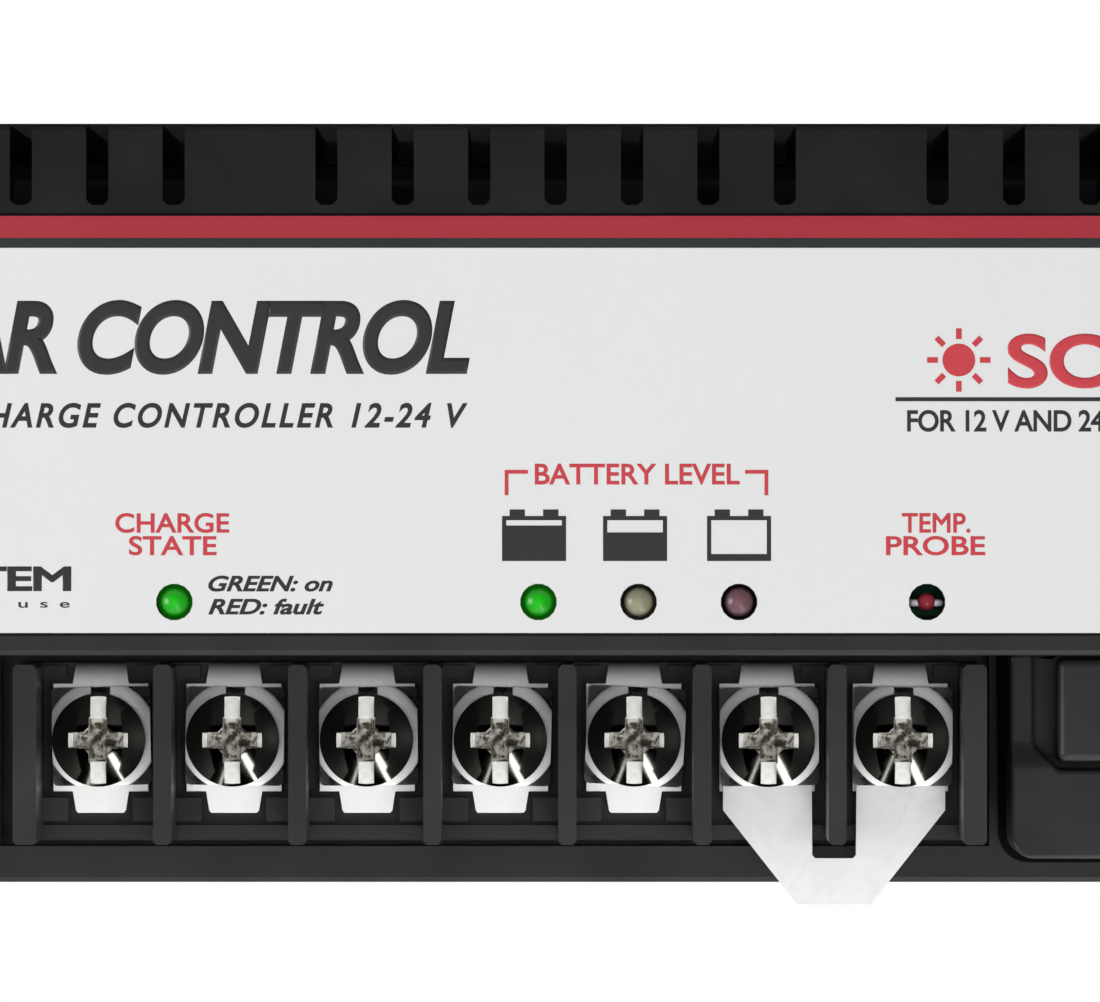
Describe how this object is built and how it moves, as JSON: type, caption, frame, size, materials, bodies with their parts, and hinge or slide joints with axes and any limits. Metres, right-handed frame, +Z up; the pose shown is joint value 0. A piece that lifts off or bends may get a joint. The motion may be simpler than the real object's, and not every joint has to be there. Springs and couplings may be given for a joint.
{
  "type": "charge controller",
  "caption": "Wall-mounted solar charge controller with a finned heatsink, stepped black cover, printed front label and a row of screw clamp terminals.",
  "frame": {"origin": "centre of the wall face, on the rear end of the middle heatsink rib, half way up the cover", "axes": "+X to the right seen from the front, +Y into the wall, +Z up; the label faces -Y"},
  "size_m": [0.169, 0.0644, 0.0771],
  "materials": {
    "black_anodised": "black anodised extrusion, satin",
    "black_plastic": "black flame-retardant moulding, satin with a fine texture",
    "block_plastic": "black moulded thermoplastic, semi-matt",
    "label": "printed film overlay, white with a dark red band",
    "nickel_plate": "bright nickel plate",
    "tin_plate": "tin-plated copper, satin and bright",
    "elastomer": "black elastomer, smooth satin",
    "circuit_board": "glass-epoxy board with dark green solder mask",
    "switch_red": "red moulded plastic",
    "switch_white": "white moulded plastic",
    "ferrite": "coated powder core",
    "enamelled_copper": "enamelled copper wire, glossy",
    "thermal_pad": "dark grey silicone pad",
    "spring_steel": "zinc-plated steel",
    "capacitor_sleeve": "shrink sleeve over aluminium can",
    "power_case": "black epoxy case with a metal tab",
    "sensor_red": "red dipped bead on bare leads",
    "lit_green_lens": "green lamp, lit",
    "amber_lens": "amber lamp, unlit",
    "red_lens": "red lamp, unlit"
  },
  "bodies": {
    "root": {"heatsink": "black_anodised", "front_cover": "black_plastic", "label_overlay": "label", "terminal_block": "block_plastic", "terminal_link": "tin_plate", "data_jack": "block_plastic", "dip_switch_body": "switch_red", "main_board": "circuit_board", "indicator_board": "circuit_board", "board_header": "block_plastic", "inductor_core": "ferrite", "inductor_winding": "enamelled_copper", "thermal_pad": "thermal_pad", "clamp_bar": "spring_steel", "temperature_sensor": "sensor_red", "charging_led": "lit_green_lens", "battery_led_green": "lit_green_lens", "battery_led_amber": "amber_lens", "battery_led_red": "red_lens", "terminal_contact_1": "tin_plate", "terminal_contact_2": "tin_plate", "terminal_contact_3": "tin_plate", "terminal_contact_4": "tin_plate", "terminal_contact_5": "tin_plate", "terminal_contact_6": "tin_plate", "terminal_contact_7": "tin_plate", "capacitor_1": "capacitor_sleeve", "capacitor_2": "capacitor_sleeve", "capacitor_3": "capacitor_sleeve", "mosfet_1": "power_case", "mosfet_2": "power_case", "mosfet_3": "power_case", "mosfet_4": "power_case", "clamp_bar_screw_1": "spring_steel", "clamp_bar_screw_2": "spring_steel", "board_screw_1": "spring_steel", "board_screw_2": "spring_steel", "cover_screw_1": "spring_steel", "cover_screw_2": "spring_steel", "cover_screw_3": "spring_steel", "cover_screw_4": "spring_steel"},
    "clamp_1": {"clamp_plate_1": "nickel_plate"},
    "screw_1": {"terminal_screw_1": "nickel_plate"},
    "clamp_2": {"clamp_plate_2": "nickel_plate"},
    "screw_2": {"terminal_screw_2": "nickel_plate"},
    "clamp_3": {"clamp_plate_3": "nickel_plate"},
    "screw_3": {"terminal_screw_3": "nickel_plate"},
    "clamp_4": {"clamp_plate_4": "nickel_plate"},
    "screw_4": {"terminal_screw_4": "nickel_plate"},
    "clamp_5": {"clamp_plate_5": "nickel_plate"},
    "screw_5": {"terminal_screw_5": "nickel_plate"},
    "clamp_6": {"clamp_plate_6": "nickel_plate"},
    "screw_6": {"terminal_screw_6": "nickel_plate"},
    "clamp_7": {"clamp_plate_7": "nickel_plate"},
    "screw_7": {"terminal_screw_7": "nickel_plate"},
    "service_cover": {"service_cover": "elastomer"},
    "dip_1": {"dip_slider_1": "switch_white"},
    "dip_2": {"dip_slider_2": "switch_white"},
    "dip_3": {"dip_slider_3": "switch_white"},
    "dip_4": {"dip_slider_4": "switch_white"}
  },
  "joints": [
    {"name": "clamp_travel_1", "type": "slide", "parent": "root", "child": "clamp_1", "axis": [0, -1, 0], "range_m": [0, 0.004]},
    {"name": "screw_turn_1", "type": "hinge", "parent": "clamp_1", "child": "screw_1", "pos_m": [-0.04449, -0.0405, -0.02236], "axis": [0, -1, 0], "range_deg": [0, 1800]},
    {"name": "clamp_travel_2", "type": "slide", "parent": "root", "child": "clamp_2", "axis": [0, -1, 0], "range_m": [0, 0.004]},
    {"name": "screw_turn_2", "type": "hinge", "parent": "clamp_2", "child": "screw_2", "pos_m": [-0.03145, -0.0405, -0.02236], "axis": [0, -1, 0], "range_deg": [0, 1800]},
    {"name": "clamp_travel_3", "type": "slide", "parent": "root", "child": "clamp_3", "axis": [0, -1, 0], "range_m": [0, 0.004]},
    {"name": "screw_turn_3", "type": "hinge", "parent": "clamp_3", "child": "screw_3", "pos_m": [-0.01841, -0.0405, -0.02236], "axis": [0, -1, 0], "range_deg": [0, 1800]},
    {"name": "clamp_travel_4", "type": "slide", "parent": "root", "child": "clamp_4", "axis": [0, -1, 0], "range_m": [0, 0.004]},
    {"name": "screw_turn_4", "type": "hinge", "parent": "clamp_4", "child": "screw_4", "pos_m": [-0.00537, -0.0405, -0.02236], "axis": [0, -1, 0], "range_deg": [0, 1800]},
    {"name": "clamp_travel_5", "type": "slide", "parent": "root", "child": "clamp_5", "axis": [0, -1, 0], "range_m": [0, 0.004]},
    {"name": "screw_turn_5", "type": "hinge", "parent": "clamp_5", "child": "screw_5", "pos_m": [0.00767, -0.0405, -0.02236], "axis": [0, -1, 0], "range_deg": [0, 1800]},
    {"name": "clamp_travel_6", "type": "slide", "parent": "root", "child": "clamp_6", "axis": [0, -1, 0], "range_m": [0, 0.004]},
    {"name": "screw_turn_6", "type": "hinge", "parent": "clamp_6", "child": "screw_6", "pos_m": [0.02071, -0.0416, -0.02236], "axis": [0, -1, 0], "range_deg": [0, 1800]},
    {"name": "clamp_travel_7", "type": "slide", "parent": "root", "child": "clamp_7", "axis": [0, -1, 0], "range_m": [0, 0.004]},
    {"name": "screw_turn_7", "type": "hinge", "parent": "clamp_7", "child": "screw_7", "pos_m": [0.03375, -0.0416, -0.02236], "axis": [0, -1, 0], "range_deg": [0, 1800]},
    {"name": "service_cover_pull", "type": "slide", "parent": "root", "child": "service_cover", "axis": [0, -1, 0], "range_m": [0, 0.03]},
    {"name": "dip_slide_1", "type": "slide", "parent": "root", "child": "dip_1", "axis": [1, 0, 0], "range_m": [0, 0.0016]},
    {"name": "dip_slide_2", "type": "slide", "parent": "root", "child": "dip_2", "axis": [1, 0, 0], "range_m": [0, 0.0016]},
    {"name": "dip_slide_3", "type": "slide", "parent": "root", "child": "dip_3", "axis": [1, 0, 0], "range_m": [0, 0.0016]},
    {"name": "dip_slide_4", "type": "slide", "parent": "root", "child": "dip_4", "axis": [1, 0, 0], "range_m": [0, 0.0016]}
  ],
  "couplings": [
    {"joint": "screw_turn_1", "follows": "clamp_travel_1", "rad_per_m": 7854},
    {"joint": "screw_turn_2", "follows": "clamp_travel_2", "rad_per_m": 7854},
    {"joint": "screw_turn_3", "follows": "clamp_travel_3", "rad_per_m": 7854},
    {"joint": "screw_turn_4", "follows": "clamp_travel_4", "rad_per_m": 7854},
    {"joint": "screw_turn_5", "follows": "clamp_travel_5", "rad_per_m": 7854},
    {"joint": "screw_turn_6", "follows": "clamp_travel_6", "rad_per_m": 7854},
    {"joint": "screw_turn_7", "follows": "clamp_travel_7", "rad_per_m": 7854}
  ]
}
